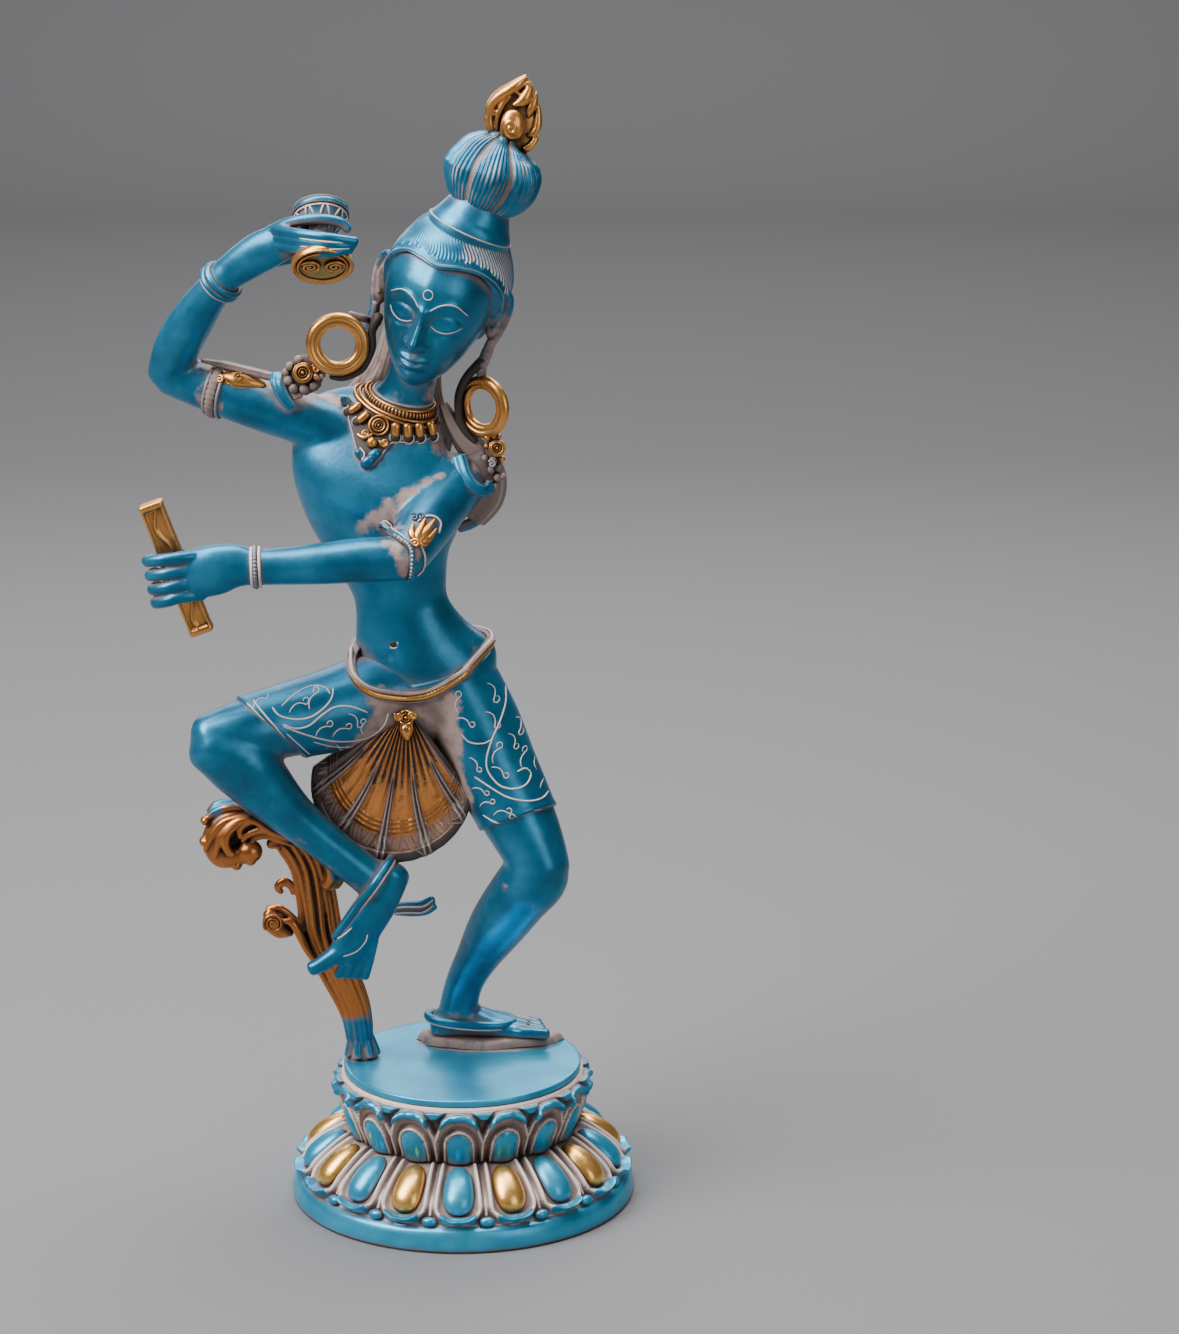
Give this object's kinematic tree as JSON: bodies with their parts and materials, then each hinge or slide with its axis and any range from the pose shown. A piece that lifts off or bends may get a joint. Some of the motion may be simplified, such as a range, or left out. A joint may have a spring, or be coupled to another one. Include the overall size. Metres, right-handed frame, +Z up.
{
  "type": "dancing deity statue",
  "caption": "Painted cast brass statue of a dancing deity with a hand drum, balanced on one bent leg on a double lotus pedestal, with a foliage prop under the raised leg.",
  "frame": {"origin": "centre of the pedestal's underside", "axes": "+Z up through the figure, -Y towards the viewer the figure faces, +X to that viewer's right"},
  "size_m": [0.2577, 0.1878, 0.61],
  "materials": {
    "pedestal_paint": "satin blue paint on cast brass, gilt petals, pale dirt in the hollows",
    "figure_paint": "satin blue paint on cast brass, gilt jewellery and skirt folds, pale wax in the engraved lines",
    "prop_gilt": "old gilt on cast brass with blue leaves, darkened in the grooves"
  },
  "bodies": {
    "root": {"lotus_pedestal": "pedestal_paint", "dancing_figure": "figure_paint", "foliage_prop": "prop_gilt"}
  },
  "joints": []
}
